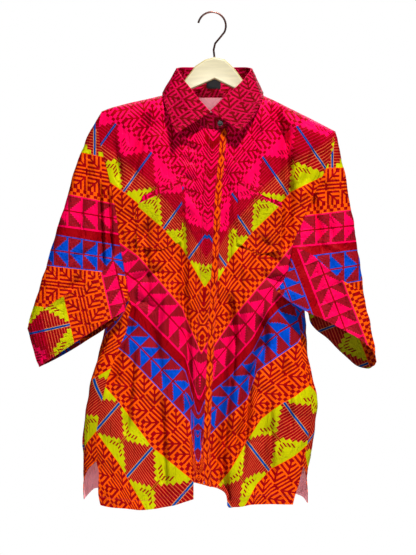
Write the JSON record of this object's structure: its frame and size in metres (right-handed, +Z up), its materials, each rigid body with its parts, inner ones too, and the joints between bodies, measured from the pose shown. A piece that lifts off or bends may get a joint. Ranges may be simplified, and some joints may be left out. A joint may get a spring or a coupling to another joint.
{
  "type": "button-down shirt on a hanger",
  "caption": "Button-down shirt of printed cotton with collar, hidden-button placket, chest pockets, side slits and wide banded sleeves, on a wooden hanger with a wire hook",
  "frame": {"origin": "the underside of the hook's crown, where it rests on a rod", "axes": "+X to the right as seen from the front, -Y to the front, +Z up"},
  "size_m": [0.6633, 0.0982, 0.9454],
  "materials": {
    "print_cloth": "printed cotton with a slight sheen",
    "band_cloth": "printed cotton with a slight sheen",
    "collar_cloth": "printed cotton, stiffened",
    "label": "plain black woven tape",
    "button": "dark, semi-gloss",
    "wood": "pale, varnished",
    "hook_wire": "copper-coloured wire"
  },
  "bodies": {
    "root": {"front_left": "print_cloth", "front_right": "print_cloth", "back": "print_cloth", "sleeve_left": "print_cloth", "sleeve_right": "print_cloth", "cuff_left": "band_cloth", "cuff_right": "band_cloth", "placket": "print_cloth", "pocket_left": "print_cloth", "pocket_right": "print_cloth", "collar_stand": "collar_cloth", "collar_leaf": "collar_cloth", "neck_label": "label", "collar_button": "button", "hanger_body": "wood", "hanger_hook": "hook_wire"}
  },
  "joints": []
}
